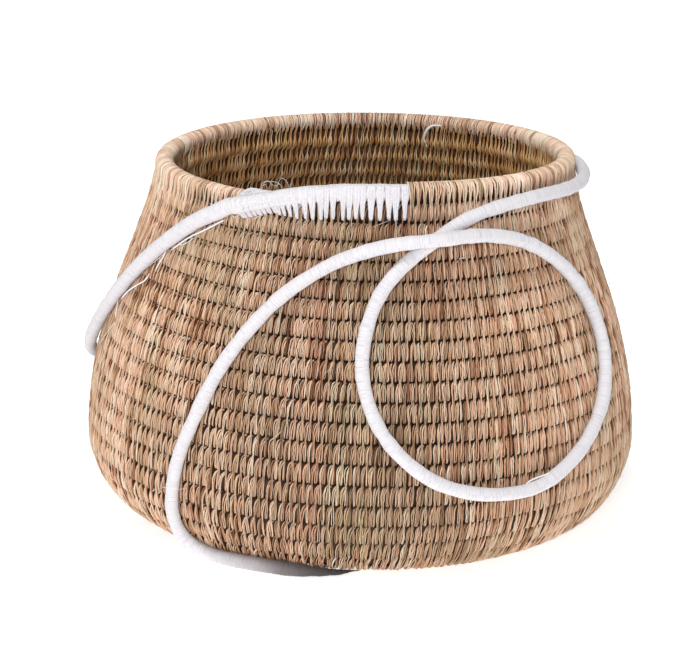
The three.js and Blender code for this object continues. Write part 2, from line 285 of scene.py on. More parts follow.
# Loose white threads: thickness in mm, then points of azimuth, height and lift off the wall in mm
white_threads = [
    (1.2, [(-126.5, 227, 1.5), (-132.6, 217.5, 0.6), (-136.6, 211.6, 1), (-139.7, 206.1, 0.5),
           (-142.7, 199.2, 1)]),
    (0.5, [(-135.5, 211.5, 0.5), (-137.1, 208, 1.2), (-138.8, 205, 0.6), (-141.2, 203.5, 1.5)]),
    (1.1, [(-143.8, 203, 3), (-145.3, 193.5, 0.8), (-146.4, 187.8, 0.4), (-146.9, 182.6, 0.6)]),
    (0.35, [(-144.9, 196.5, 0.8), (-147.5, 189, 2.5), (-150, 183, 3)]),
    (1.2, [(-148.5, 180, 1.5), (-150, 174.4, 0.6), (-153.1, 168.8, 0.8), (-156.9, 161.7, 0.6),
           (-159.7, 153.9, 0.6)]),
    (0.8, [(-165.5, 148, 3), (-161.5, 152.5, 1.5), (-159.9, 146, 1.2), (-159.5, 140.6, 0.8)]),
    (0.4, [(-158.6, 139, 0.4), (-160.1, 135.1, 0.5), (-163.5, 125.5, 0.6), (-166.6, 114.4, 1.5)]),
    (0.35, [(-126.3, 226, 1), (-129.4, 223.4, 1.2), (-132.4, 218.9, 0.6)]),
    (0.35, [(-125.7, 230.7, 1), (-123.5, 229.7, 1.6), (-121.5, 232.9, 0.8), (-119.4, 231.8, 1.2),
            (-117.3, 236.3, 1)]),
    (0.35, [(-125, 234.2, 1.5), (-122.4, 231.4, 0.8), (-120.2, 236, 1.5), (-117.8, 233.6, 0.8)]),
    (0.35, [(-118.8, 229.5, 0.5), (-117.5, 231.5, 1.5), (-116.1, 233.6, 0.6), (-115.5, 236, 1)]),
    (0.2, [(-116.2, 250.4, 3), (-116.4, 254.2, 1), (-114.2, 256, 0.5), (-112, 255, 0),
           (-110.6, 252.5, 2)]),
    (0.18, [(-116.5, 250.9, 2), (-115.3, 256, 0), (-113.1, 253.3, 0.5), (-111.5, 255.1, 0)]),
    (0.2, [(-112.6, 251.4, 2), (-111.9, 256.3, 0), (-111.1, 259, 0), (-109.8, 256.7, 0),
           (-108.8, 252.7, 2)]),
    (0.16, [(-116.8, 249.9, 2), (-115.8, 253.5, 0), (-114.8, 250.5, 1)]),
    (0.25, [(-63.4, 67.6, 1), (-62.5, 68.8, 1), (-61.7, 69, 1), (-61, 68, 1)]),
    (1.1, [(-57.5, 63, 4), (-56.8, 64.6, 4), (-55.9, 65.8, 4), (-54.2, 66.7, 4),
           (-52.2, 67.3, 4), (-50.9, 68.1, 4), (-49.6, 68.9, 4)]),
    (0.22, [(-131.6, 52.2, 0.8), (-129.2, 53.4, 8.6), (-127.4, 54.2, 10.2), (-125.2, 54.8, 8.4),
            (-124.4, 54, 1)]),
    (0.2, [(-88, 230.4, 0.6), (-85.6, 233.3, 1.6), (-83.4, 235.4, 1.2)]),
    (0.3, [(-67.5, 207, 0.5), (-66.5, 210, 2), (-65.2, 208.5, 0.6)]),
]
# A white end that shows inside, at the back: azimuth, and distance below the rim's edge in mm
white_curl = [(64.8, 10.5), (67.8, 11), (69.5, 13.6), (70.5, 17.7), (70.8, 21.3), (70.2, 24.5), (70, 26.5)]
curl_azimuth = 70
curl_lift = 1.4 * mm
curl_end_radius = 0.5 * mm
curl_swell = 0.7 * mm
# Stray blades of grass, written as the white threads are, and finer hairs at random places: how many, the
# heights of their lower ends, their lengths and thicknesses in mm, and their slope in radians
grass_blades = [
    (0.8, [(-105, 104, 0.4), (-105.4, 102.2, 1.2), (-106.1, 99.8, 1.5), (-107.2, 96.1, 0.8)]),
    (0.4, [(-46.8, 214, 0.4), (-45.2, 219, 1.5), (-43.8, 223.5, 1)]),
    (0.4, [(-35.8, 222, 0.4), (-34.4, 226, 1.6), (-33.8, 231, 0.8)]),
    (0.4, [(-110.5, 226, 0.4), (-111.6, 231, 1.8), (-112.2, 236, 1)]),
    (0.35, [(-141, 226, 0.4), (-139.5, 231, 1.5), (-139.2, 236.5, 0.5)]),
]
hair_count = 150
hair_heights = (20, 240)
hair_lengths = (5, 15)
hair_thicknesses = (0.2, 0.35)
hair_slope = 0.15
hair_slope_spread = 0.5

# The photograph's camera, fitted to the pot's outline, rim and rows: angles in degrees, and its focal
# length and the image's width in pixels
camera_place = (0, -1.4791, 0.56806)
camera_pitch = 17.047
camera_yaw = -0.335
camera_roll = 1.087
focal_length = 2114
image_width = 700


def smoothstep(x, low, high):
    share = np.clip((np.asarray(x, float) - low) / (high - low), 0, 1)
    return share * share * (3 - 2 * share)


def bezier(a, b, c, d, steps=600):
    t = np.linspace(0, 1, steps)[:, None]
    a, b, c, d = map(np.array, (a, b, c, d))
    return a * (1 - t) ** 3 + 3 * b * t * (1 - t) ** 2 + 3 * c * t * t * (1 - t) + d * t ** 3


def polar(radius, angle, height):
    """Points at a radius, an angle in radians and a height."""
    radius, angle, height = np.broadcast_arrays(radius, angle, height)
    return np.stack([radius * np.cos(angle), radius * np.sin(angle), height], axis=-1)


def run_of(points):
    """Length along a line of points, up to each of them."""
    steps = np.linalg.norm(np.diff(points, axis=0), axis=1)
    return np.concatenate([[0], np.cumsum(steps)])


# The wall's shell and the coil's rows

base_line_steps = 400
outline_past_rim = 0.02
outline = np.vstack([
    np.linspace((0, 0), (base_radius, 0), base_line_steps)[:-1],
    bezier(
        (base_radius, 0), (base_radius + base_reach, 0),
        (belly_radius, belly_height - under_belly_reach), (belly_radius, belly_height),
    )[:-1],
    bezier(
        (belly_radius, belly_height), (belly_radius, belly_height + over_belly_reach),
        (neck_radius - neck_draw_in, rim_height - neck_reach), (neck_radius, rim_height),
    ),
])
outline_length = run_of(outline)[-1]
last_step = outline[-1] - outline[-2]
outline = np.vstack([outline, outline[-1] + last_step / np.linalg.norm(last_step) * outline_past_rim])
outline_run = run_of(outline)
outline_way = np.gradient(outline, outline_run, axis=0)


def wall_point(azimuth, along, depth):
    """Point of the wall so far along the outline and so deep inside its outer face."""
    radius, height, way_out, way_up = (
        np.interp(along, outline_run, values)
        for values in (outline[:, 0], outline[:, 1], outline_way[:, 0], outline_way[:, 1])
    )
    angle = np.radians(azimuth)
    dip = rim_dip / 2 * height / rim_height * np.sin(angle)
    return polar(radius - depth * way_up, angle, height + depth * way_out - dip)


def along_beside(height, distance):
    """How far along the outline a point lies that stands off the wall by a distance, at a height."""
    above_rim = 0.018
    halvings = 40
    low = np.zeros_like(np.asarray(height, float))
    high = low + outline_length + above_rim
    for _ in range(halvings):
        middle = (low + high) / 2
        below = wall_point(0, middle, -distance)[..., 2] < height
        low = np.where(below, middle, low)
        high = np.where(below, high, middle)
    return (low + high) / 2


even_edge = float(along_beside(even_rows_height, 0))
even_turns = round((even_edge - knot_radius) / row_pitch)
closing_turns = round(2 * (outline_length - even_edge) / (row_pitch + rim_row_pitch))
grass_turns = even_turns + closing_turns - 1
base_turns = math.floor((base_radius - knot_radius) * even_turns / (even_edge - knot_radius))


def row_edge(turn):
    """Where the lower edge of the coil lies along the outline, after so many turns."""
    turn = np.asarray(turn, float)
    even = knot_radius + (even_edge - knot_radius) * turn / even_turns
    share = (turn - even_turns) / closing_turns
    risen = 2 * row_pitch * share - (row_pitch - rim_row_pitch) * share ** 2
    closing = even_edge + (outline_length - even_edge) * risen / (row_pitch + rim_row_pitch)
    return np.where(turn <= even_turns, even, closing)


def row_along(turn, share):
    """Place along the outline by share of a row's height.

    A share over 1 lies on the row above, and one below 0 on the row beneath.
    """
    nearest_to_middle = 1.5 * mm
    low, high = row_edge(turn), row_edge(turn + 1)
    beneath = np.maximum(row_edge(turn - 1), nearest_to_middle)
    return np.where(share < 0, low + share * (low - beneath), low + share * (high - low))


def azimuth_at(turn):
    return seam_azimuth - 360 * turn


def turns_from_seam(azimuth):
    """Share of a turn from the seam to an azimuth left of it."""
    return (seam_azimuth - azimuth) / 360


def bulge_at(azimuth):
    """How far the wall's stitches stand out under the belly, in mm."""
    return np.interp((azimuth + 180) % 360 - 180, *zip(*under_bulge))


# Meshes

def unit(vectors):
    return vectors / np.linalg.norm(vectors, axis=-1, keepdims=True)


def level_side(angle):
    """Level unit vector along the wall, at an angle in radians."""
    return np.stack([-np.sin(angle), np.cos(angle), np.zeros_like(angle)], axis=-1)


def strand_rings(points, side, widths, thickness):
    """Five-cornered sections along strands, flat towards the coil. The points run along the outside."""
    shoulder_width = 0.68
    shoulder_depth = 0.3
    way = unit(np.gradient(points, axis=1))
    side = unit(side - np.sum(side * way, axis=-1, keepdims=True) * way)
    half = side * widths[..., None] / 2
    down = np.cross(side, way) * thickness
    return np.stack([
        points + half + down,
        points + half * shoulder_width + down * shoulder_depth,
        points,
        points - half * shoulder_width + down * shoulder_depth,
        points - half + down,
    ], axis=2)


def tube(points, azimuth, sizes, sides):
    """Rings round a line of points that runs over the wall at these azimuths."""
    way = unit(np.gradient(points, axis=0))
    side = unit(np.cross(way, polar(1, np.radians(azimuth), 0)))
    away = np.cross(side, way)
    turn = np.arange(sides) / sides * 2 * math.pi
    size = np.broadcast_to(sizes, len(points))[:, None, None]
    return (
        points[:, None, :]
        + away[:, None, :] * np.cos(turn)[None, :, None] * size
        + side[:, None, :] * np.sin(turn)[None, :, None] * size
    )[None]


class Piece:
    """Gathers strands and tubes into one mesh.

    Each point gets a tone, and a place for its material: side to side across the strand from -1 to 1,
    length along it in mm, and a value that tells the strands apart.
    """

    different_strands = 997
    strand_value_step = 1.7
    plain_tone = 0.5

    def __init__(self):
        self.points, self.tones, self.places = [], [], []
        self.faces, self.slots = [], []
        self.count = 0

    def add(self, rings, tones=None, material=0):
        """rings holds solids, each of rings of points, that go anticlockwise seen from its end.

        There is a tone for each solid, or for each corner of one solid.
        """
        solids, steps, sides = rings.shape[:3]
        first = self.count + np.arange(solids)[:, None, None] * steps * sides
        corner = np.arange(sides)
        a = first + np.arange(steps - 1)[None, :, None] * sides + corner
        b = a - corner + np.roll(corner, -1)
        walls = np.stack([a, b, b + sides, a + sides], axis=-1).reshape(-1, 4)
        starts = first[:, 0] + corner[::-1]
        ends = first[:, 0] + (steps - 1) * sides + corner
        for faces in (walls, starts, ends):
            self.faces += faces.tolist()
            self.slots += [material] * len(faces)
        run = np.linalg.norm(np.diff(rings.mean(axis=2), axis=1), axis=-1).cumsum(axis=1)
        run = np.concatenate([np.zeros((solids, 1)), run], axis=1)
        number = np.arange(solids) % self.different_strands
        place = np.empty((solids, steps, sides, 3))
        place[..., 0] = corner / (sides - 1) * 2 - 1
        place[..., 1] = run[:, :, None] / mm
        place[..., 2] = number[:, None, None] * self.strand_value_step
        self.points.append(rings.reshape(-1, 3))
        if tones is None:
            tones = np.full(solids, self.plain_tone)
        tones = np.broadcast_to(np.reshape(tones, (solids, 1, -1)), (solids, steps, sides))
        self.tones.append(tones.ravel())
        self.places.append(place.reshape(-1, 3))
        self.count += solids * steps * sides

    def build(self, name, materials, node=None, lowest=None):
        """Make the mesh, with no point below the lowest height, in place of a CAD node if one is named."""
        points = np.concatenate(self.points)
        if lowest is not None:
            points[:, 2] = np.maximum(points[:, 2], lowest)
        mesh = bpy.data.meshes.new(name)
        mesh.from_pydata(points.tolist(), [], self.faces)
        mesh.attributes.new("tone", "FLOAT", "POINT").data.foreach_set("value", np.concatenate(self.tones))
        mesh.attributes.new("place", "FLOAT_VECTOR", "POINT").data.foreach_set(
            "vector", np.concatenate(self.places).ravel())
        for material in materials:
            mesh.materials.append(material)
        mesh.polygons.foreach_set("material_index", self.slots)
        mesh.shade_smooth()
        obj = bpy.data.objects.new(name, mesh)
        bpy.context.scene.collection.objects.link(obj)
        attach(obj, "root")
        if node is not None:
            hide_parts(node)


# Materials

def new_material(name):
    """A material, its shader, and functions that make and link its nodes."""
    material = bpy.data.materials.new(name)
    material.use_nodes = True
    tree = material.node_tree
    shader = tree.nodes["Principled BSDF"]

    def node(kind, **settings):
        made = tree.nodes.new(kind)
        for key, value in settings.items():
            if key in made.inputs:
                made.inputs[key].default_value = value
            else:
                setattr(made, key, value)
        return made

    def link(source, output, target, socket):
        tree.links.new(source.outputs[output], target.inputs[socket])

    return material, shader, node, link


def ramp(node, stops):
    """A colour ramp through stops of place and linear colour."""
    made = node("ShaderNodeValToRGB")
    elements = made.color_ramp.elements
    while len(elements) < len(stops):
        elements.new(0.5)
    for element, (place, colour) in zip(elements, stops):
        element.position = place
        element.color = (*colour, 1)
    return made


def srgb(red, green, blue):
    """Linear colour of an sRGB colour given from 0 to 255."""
    return tuple(
        value / 12.92 if value <= 0.04045 else ((value + 0.055) / 1.055) ** 2.4
        for value in (red / 255, green / 255, blue / 255)
    )


def mixed(node, link, kind, factor, first, second):
    """A colour mix and its output. Each input is a fixed value or (node, output)."""
    made = node("ShaderNodeMix", data_type="RGBA", blend_type=kind)
    factor_socket, first_socket, second_socket = 0, 6, 7
    colour_output = 2
    for socket, value in ((factor_socket, factor), (first_socket, first), (second_socket, second)):
        if isinstance(value, tuple) and not isinstance(value[0], (int, float)):
            link(*value, made, socket)
        elif socket == factor_socket:
            made.inputs[socket].default_value = value
        else:
            made.inputs[socket].default_value = (*value, 1)
    return made, colour_output


def grass_material(name, stops, patch_colour, streak_low, roughness, edge_shade_tint=(0.5, 0.34, 0.23)):
    """Dried grass: a tone for each strand, large patches, and fine grain along the strand.

    The stops and the patches have sRGB colours. Painted shade darkens each strand towards its edges.
    """
    roughness_spread = 0.1
    material, shader, node, link = new_material(name)
    tone = node("ShaderNodeAttribute", attribute_name="tone")
    colours = ramp(node, [(tone_stop, srgb(*colour)) for tone_stop, colour in stops])
    link(tone, "Fac", colours, "Fac")
    where = node("ShaderNodeTexCoord")
    patches = node("ShaderNodeTexNoise", Scale=16.0, Detail=3.0, Roughness=0.6)
    link(where, "Object", patches, "Vector")
    patch_share = ramp(node, [(0.42, (0, 0, 0)), (0.66, (0.55, 0.55, 0.55))])
    link(patches, "Fac", patch_share, "Fac")
    patched = mixed(node, link, "MIX", (patch_share, "Color"), (colours, "Color"), srgb(*patch_colour))
    place = node("ShaderNodeAttribute", attribute_name="place")
    stretch = node("ShaderNodeMapping", Scale=(1.6, 0.22, 1.0))
    link(place, "Vector", stretch, "Vector")
    grain = node("ShaderNodeTexNoise", Scale=1.0, Detail=4.0, Roughness=0.65)
    link(stretch, "Vector", grain, "Vector")
    grain_colour = ramp(node, [(0.30, (streak_low,) * 3), (0.62, (1.0, 1.0, 1.0))])
    link(grain, "Fac", grain_colour, "Fac")
    streaked = mixed(node, link, "MULTIPLY", 1.0, patched, (grain_colour, "Color"))
    parts = node("ShaderNodeSeparateXYZ")
    link(place, "Vector", parts, "Vector")
    across = node("ShaderNodeMath", operation="ABSOLUTE")
    link(parts, "X", across, 0)
    # Painted shade: a strand darkens towards its edges, where it curves away from the light
    edge = ramp(node, [(0.5, (1, 1, 1)), (1.0, edge_shade_tint)])
    link(across, "Value", edge, "Fac")
    edge_shaded = mixed(node, link, "MULTIPLY", 1.0, streaked, (edge, "Color"))
    chance = node("ShaderNodeTexWhiteNoise", noise_dimensions="1D")
    link(parts, "Z", chance, "W")
    hue = ramp(node, [
        (0.0, (1.0, 0.78, 0.7)),
        (0.25, (1.0, 0.93, 0.89)),
        (0.7, (0.98, 0.97, 0.92)),
        (1.0, (0.9, 0.95, 0.8)),
    ])
    link(chance, "Value", hue, "Fac")
    tinted = mixed(node, link, "MULTIPLY", 1.0, edge_shaded, (hue, "Color"))
    link(*tinted, shader, "Base Color")
    rough = node("ShaderNodeMapRange")
    rough.inputs["To Min"].default_value = roughness - roughness_spread
    rough.inputs["To Max"].default_value = roughness + roughness_spread
    link(grain, "Fac", rough, "Value")
    link(rough, "Result", shader, "Roughness")
    bump = node("ShaderNodeBump", Strength=0.5, Distance=0.4 * mm)
    link(grain, "Fac", bump, "Height")
    link(bump, "Normal", shader, "Normal")
    shader.inputs["Specular IOR Level"].default_value = 0.45
    return material


grass = grass_material(
    "stitch_grass",
    [
        (0.00, (132, 86, 56)),
        (0.08, (180, 130, 96)),
        (0.25, (214, 170, 138)),
        (0.45, (232, 194, 166)),
        (0.62, (240, 204, 178)),
        (0.8, (246, 218, 194)),
        (1.00, (252, 238, 220)),
    ],
    patch_colour=(206, 182, 150), streak_low=0.66, roughness=0.42,
)
# Rim wraps: paler strands, painted lighter still as highlight on the rim, with less painted edge shade
rim_grass = grass_material(
    "rim_grass",
    [
        (0.00, (160, 122, 94)),
        (0.2, (220, 184, 160)),
        (0.45, (242, 212, 192)),
        (0.75, (250, 228, 210)),
        (1.00, (254, 244, 234)),
    ],
    patch_colour=(232, 208, 178), streak_low=0.8, roughness=0.42, edge_shade_tint=(0.78, 0.66, 0.56),
)
# Inside: a paler, yellower copy of the grass, painted lighter to make up for the shade inside the pot
inner_grass = grass_material(
    "inner_grass",
    [
        (0.00, (178, 126, 82)),
        (0.3, (228, 178, 124)),
        (0.7, (242, 201, 150)),
        (1.00, (252, 230, 194)),
    ],
    patch_colour=(212, 176, 118), streak_low=0.75, roughness=0.32,
)
# Its darkest colours give the painted shade on the bundle's outside, deep between the stitches
bundle_grass = grass_material(
    "bundle_grass",
    [
        (0.00, (30, 12, 4)),
        (1.00, (164, 112, 68)),
    ],
    patch_colour=(84, 54, 28), streak_low=0.35, roughness=0.7,
)


def cotton_material(name, shades, shadow_from=None, shadow_to=None):
    """White cotton thread, wound closely: fine ridges round the coil, soft shadows between them.

    Shades are the sRGB colours of its hollows, body and ridges; painted shadow can darken it along its
    length.
    """
    hollow, body, ridge = (srgb(*shade) for shade in shades)
    material, shader, node, link = new_material(name)
    place = node("ShaderNodeAttribute", attribute_name="place")
    stretch = node("ShaderNodeMapping", Scale=(0.4, 1.5, 1.0))
    link(place, "Vector", stretch, "Vector")
    threads = node("ShaderNodeTexNoise", Scale=1.0, Detail=3.0, Roughness=0.7)
    link(stretch, "Vector", threads, "Vector")
    colour = ramp(node, [(0.28, hollow), (0.46, body), (0.75, ridge)])
    link(threads, "Fac", colour, "Fac")
    if shadow_from is None:
        link(colour, "Color", shader, "Base Color")
    else:
        parts = node("ShaderNodeSeparateXYZ")
        link(place, "Vector", parts, "Vector")
        towards_end = node("ShaderNodeMapRange")
        towards_end.inputs["From Min"].default_value = shadow_from / mm
        towards_end.inputs["From Max"].default_value = shadow_to / mm
        link(parts, "Y", towards_end, "Value")
        # Painted shadow: the cord greys, then darkens, towards its end under the belly
        dark = ramp(node, [
            (0.00, (1.0, 1.0, 1.0)),
            (0.36, (0.6, 0.58, 0.57)),
            (0.53, (0.26, 0.24, 0.23)),
            (0.7, (0.13, 0.12, 0.115)),
            (1.00, (0.03, 0.026, 0.024)),
        ])
        link(towards_end, "Result", dark, "Fac")
        shadowed = mixed(node, link, "MULTIPLY", 1.0, (colour, "Color"), (dark, "Color"))
        link(*shadowed, shader, "Base Color")
    bump = node("ShaderNodeBump", Strength=0.5, Distance=0.5 * mm)
    link(threads, "Fac", bump, "Height")
    link(bump, "Normal", shader, "Normal")
    shader.inputs["Roughness"].default_value = 0.85
    shader.inputs["Specular IOR Level"].default_value = 0.25
    shader.inputs["Sheen Weight"].default_value = 0.15
    return material


coil_shades = [(186, 182, 190), (216, 213, 217), (228, 226, 229)]
# The loose threads' cotton is painted whiter, to make up for shade on thin threads and inside the pot
loose_shades = [(232, 229, 232), (240, 238, 240), (246, 245, 246)]
cotton = cotton_material("white_cotton", coil_shades)
loose_cotton = cotton_material("loose_cotton", loose_shades)


# The grass coil

def stitch_turns(pitch):
    """Turns where stitches lie along the coil, each between two stitches of the row below if it can."""
    first_turn = 0.02
    first_staggered_turn = 1.1
    smallest_radius = 6 * mm
    # Steps from the last stitch to the coil's end: at least, and once all are spaced out
    last_gap, end_gap = 0.3, 0.45
    turns = [first_turn]
    below = 0
    while True:
        radius = max(float(wall_point(0, row_edge(turns[-1] + 0.5), 0)[0]), smallest_radius)
        step = pitch / (2 * math.pi * radius)
        turn = turns[-1] + step * (1 + pitch_spread * rng.normal())
        while below + 2 < len(turns) and (turns[below] + turns[below + 1]) / 2 + 1 < turn - step / 2:
            below += 1
        if turn > first_staggered_turn:
            between = (turns[below] + turns[below + 1]) / 2 + 1
            turn += float(np.clip(between - turn, -pitch_shift * step, pitch_shift * step))
        if turn > grass_turns - last_gap * step:
            return np.array(turns) * (grass_turns - end_gap * step) / turns[-1]
        turns.append(turn)


def stitches(turns, stations, strands, wave=strand_wave, fill=strand_fill, spread=1):
    """Rings of the strands of the stitches at these turns.

    The strands of a stitch share its width. Each waves by so many mm and fills a share of its part. With
    a spread of 0 no stitch leans.
    """
    smallest_radius = 4 * mm
    count = len(turns)
    share, depth, width, shift = (np.array(column)[None, :] for column in zip(*stations))
    size = rng.uniform(*stitch_sizes, (count, 1))
    lean = rng.normal(0, stitch_lean, (count, 1))
    reach = rng.normal(0, stitch_slip, (count, 1))
    parts = rng.uniform(*strand_parts, (count, strands))
    parts /= parts.sum(axis=1, keepdims=True)
    middles = np.cumsum(parts, axis=1) - parts / 2 - 0.5
    made = []
    for strand in range(strands):
        part = parts[:, strand:strand + 1]
        slip = (reach + rng.normal(0, strand_slip, (count, 1))) * np.sin(np.pi * (share + 1) / 2)
        sideways = shift * rng.uniform(*stitch_shifts, (count, 1))
        sideways += (lean + rng.normal(0, strand_lean, (count, 1))) * share * spread
        sideways += rng.normal(0, wave, sideways.shape)
        sideways += middles[:, strand:strand + 1] * width * size
        deep = depth + rng.uniform(0, stitch_sinking, (count, 1))
        deep += rng.normal(0, strand_unevenness, deep.shape)
        along = row_along(turns[:, None], share + slip)
        swell = np.sin(np.pi * np.clip((along - bulge_from) / (bulge_to - bulge_from), 0, 1)) ** 2
        outside = depth * mm < coil_thickness / 2
        deep -= np.where(outside, swell * bulge_at(azimuth_at(turns))[:, None], 0)
        radius = np.maximum(np.interp(along, outline_run, outline[:, 0]), smallest_radius)
        azimuth = azimuth_at(turns)[:, None] + np.degrees(sideways * mm / radius)
        points = wall_point(azimuth, along, deep * mm)
        widths = width * size * part * fill
        made.append(strand_rings(points, level_side(np.radians(azimuth)), widths * mm, strand_thickness))
    return np.concatenate(made)


def strand_tones(count, strands):
    """A tone for each strand. The strands of a stitch are alike, and so are a few neighbours."""
    alike = 7
    shared_tones = (0.15, 0.85)
    shared_weight, own_weight = 0.4, 0.6
    strand_difference = 0.24
    dark_share = dark_tone = 0.05
    shared = np.repeat(rng.uniform(*shared_tones, count // alike + 2), alike)[:count]
    own = rng.uniform(0, 1, count)
    tone = shared_weight * shared + own_weight * own
    differences = [rng.normal(0, strand_difference, count) for _ in range(strands)]
    tones = np.concatenate([np.clip(tone + difference, 0, 1) for difference in differences])
    dark = rng.uniform(0, 1, len(tones)) < dark_share
    return np.where(dark, dark_tone, tones)


bundle_angles = np.linspace(0, 2 * math.pi, bundle_sides, endpoint=False)
# The outside gets the painted shade tone, the inside the lighter one
bundle_tones = np.where(np.sin(bundle_angles) > 0, bundle_outer_shade_tone, bundle_inner_tone)


def bundle_rings(first_turn):
    """The grass bundle of one turn, an oval section inside its stitches."""
    turn = first_turn + np.linspace(0, 1, bundle_steps + 1)[:, None]
    angle = bundle_angles[None, :]
    low, high = row_edge(turn), row_edge(turn + 1)
    # Two shallow waves that wind along the bundle
    ridges = 1 + 0.05 * np.sin(5 * angle + 9 * turn) + 0.04 * np.sin(7 * angle - 5 * turn)
    fullness = rim_bundle_fullness if first_turn == grass_turns - 1 else bundle_fullness
    along = (low + high) / 2 - (high - low) / 2 * np.cos(angle) * fullness
    cover = np.where(np.sin(angle) > 0, outer_cover, inner_cover)
    depth = coil_thickness / 2 - (coil_thickness / 2 - cover) * np.sin(angle) * ridges
    return wall_point(azimuth_at(turn), along, depth)[None]


def row_name(turn):
    if turn == grass_turns - 1:
        return "rim_coil"
    if turn < base_turns:
        return f"base_coil_{turn + 1:02d}"
    return f"wall_coil_{turn - base_turns + 1:02d}"


outer_turns = stitch_turns(stitch_pitch)
inner_turns = stitch_turns(stitch_pitch * inner_pitch_ratio)
rim_wrap_turn = grass_turns - 1 + turns_from_seam(rim_wrap_azimuth)


def coil_row(turn):
    """One turn of the coil: its bundle, its stitches outside or over the rim, and those inside."""
    grass_index, inner_index, rim_index = 0, 1, 2
    name = row_name(turn)
    bundle = Piece()
    bundle.add(bundle_rings(turn), bundle_tones)
    bundle.build(name + "_bundle", [bundle_grass], name)
    row = Piece()
    here = outer_turns[(outer_turns >= turn) & (outer_turns < turn + 1)]
    plain = here[here < rim_wrap_turn]
    # The base's stitches are single strands, but for its last row, which shows under the belly
    strands = 1 if turn < base_turns - 1 else outer_strands
    row.add(stitches(plain, outer_stitch, strands), strand_tones(len(plain), strands), grass_index)
    wraps = here[here >= rim_wrap_turn]
    if len(wraps):
        wrapped = stitches(wraps, rim_wrap, rim_wrap_strands, fill=rim_wrap_fill)
        row.add(wrapped, strand_tones(len(wraps), rim_wrap_strands), rim_index)
    inside = inner_turns[(inner_turns >= turn) & (inner_turns < min(turn + 1, rim_wrap_turn))]
    stitched = stitches(inside, inner_stitch, inner_strands, inner_strand_wave)
    row.add(stitched, strand_tones(len(inside), inner_strands), inner_index)
    row.build(name + "_stitches", [grass, inner_grass, rim_grass], lowest=above_floor)


for turn in range(grass_turns):
    coil_row(turn)


# The start knot

def knot_rings():
    """A snail-shaped disc of grass inside the first turn."""
    turns = np.linspace(1, 0, knot_disc_steps)
    edge = row_edge(turns)
    angle = np.radians(azimuth_at(turns))
    return np.stack([polar(edge - inset * mm, angle, height * mm) for height, inset in knot_disc])[None]


def knot_stitches(height, way):
    """Stitches over one face of the start knot, from near its middle to the seam of the first turn.

    The way is 1 for the face that looks up and -1 for the one that looks down.
    """
    stitch_shift = 0.2
    stitch_wave = 0.02
    fill = 0.95
    count = knot_stitch_count
    turn = (np.arange(count) + 0.5 + rng.uniform(-stitch_shift, stitch_shift, count)) / count
    share, sunk = np.array(knot_stitch).T
    reach = knot_eye + (row_edge(turn)[:, None] + knot_stitch_overlap - knot_eye) * share
    angle = np.radians(azimuth_at(turn))[:, None] + rng.normal(0, stitch_wave, reach.shape)
    points = polar(reach, angle, height - way * sunk * mm)
    side = level_side(angle)
    widths = np.minimum(fill * 2 * math.pi * reach / count, knot_stitch_width)
    if way < 0:
        points, side, widths = points[:, ::-1], side[:, ::-1], widths[:, ::-1]
    return strand_rings(points, side, widths, knot_stitch_thickness)


def start_knot():
    disc_tone = 0.1
    stitch_tones = (0.2, 0.8)
    knot = Piece()
    knot.add(knot_rings(), [disc_tone])
    for height, way in ((coil_thickness, 1), (knot_stitch_bottom, -1)):
        stitched = knot_stitches(height, way)
        knot.add(stitched, rng.uniform(*stitch_tones, len(stitched)))
    knot.build("start_knot_button", [grass], "start_knot", lowest=above_floor)


start_knot()


# The white coil and cord

def centripetal(points, steps=40):
    """Centripetal Catmull-Rom curve through points, with the ends carried on."""
    points = np.array(points, float)
    points = np.vstack([2 * points[0] - points[1], points, 2 * points[-1] - points[-2]])
    t = np.linspace(0, 1, steps, endpoint=False)[:, None]
    pieces = []
    for a, b, c, d in zip(points, points[1:], points[2:], points[3:]):
        first, second, third = (math.sqrt(np.linalg.norm(q - p)) for p, q in ((a, b), (b, c), (c, d)))
        start = ((b - a) / first - (c - a) / (first + second) + (c - b) / second) * second
        end = ((c - b) / second - (d - b) / (second + third) + (d - c) / third) * second
        pieces.append(
            b + start * t
            + (3 * c - 3 * b - 2 * start - end) * t ** 2
            + (2 * b - 2 * c + start + end) * t ** 3
        )
    return np.vstack([*pieces, points[-2:-1]])


def evenly(points, step):
    """Points at about equal steps along a line, and the length along it up to each."""
    run = run_of(points)
    places = np.linspace(0, run[-1], round(run[-1] / step) + 1)
    return np.stack([np.interp(places, run, column) for column in points.T], axis=-1), places


def softened(values, width):
    """Values smoothed along the cord, with its ends kept."""
    kernel_reach = 2.5
    kernel = np.exp(-np.linspace(-kernel_reach, kernel_reach, 2 * width + 1) ** 2)
    kernel /= kernel.sum()
    padded = np.vstack([
        2 * values[0] - values[width:0:-1],
        values,
        2 * values[-1] - values[-2:-width - 2:-1],
    ])
    return np.stack([np.convolve(column, kernel, "valid") for column in padded.T], axis=-1)


# The path of the white coil's middle over the rim's chamfered edge, out and up from that edge
rim_cut = (1 - math.tan(math.pi / 8)) / 2 * coil_thickness
rest_distance = white_radius + cord_clearance
quarter_steps = 40
quarter = np.linspace(math.pi / 2, 0, quarter_steps)
roll_off = np.vstack([
    [(-rim_inset, rest_distance)],
    np.stack([
        -rim_cut + (rest_distance + rim_cut) * np.cos(quarter),
        -rim_cut + (rest_distance + rim_cut) * np.sin(quarter),
    ], axis=-1),
    [(rest_distance, -white_radius - leaving_drop)],
])


def rolled(azimuth):
    """How far out and up the white coil's middle lies from the top edge of the rim's outer face."""
    share = np.clip((azimuth - roll_azimuth) / (leaving_azimuth - roll_azimuth), 0, 1) ** roll_easing
    run = run_of(roll_off)
    return (np.interp(share * run[-1], run, column) for column in roll_off.T)


def rim_edge(azimuth):
    return row_edge(grass_turns + turns_from_seam(azimuth))


def on_rim(azimuth):
    """Middle of the white coil where it lies on the rim and rolls off it."""
    out, up = rolled(azimuth)
    return wall_point(azimuth, rim_edge(azimuth) + up, -out)


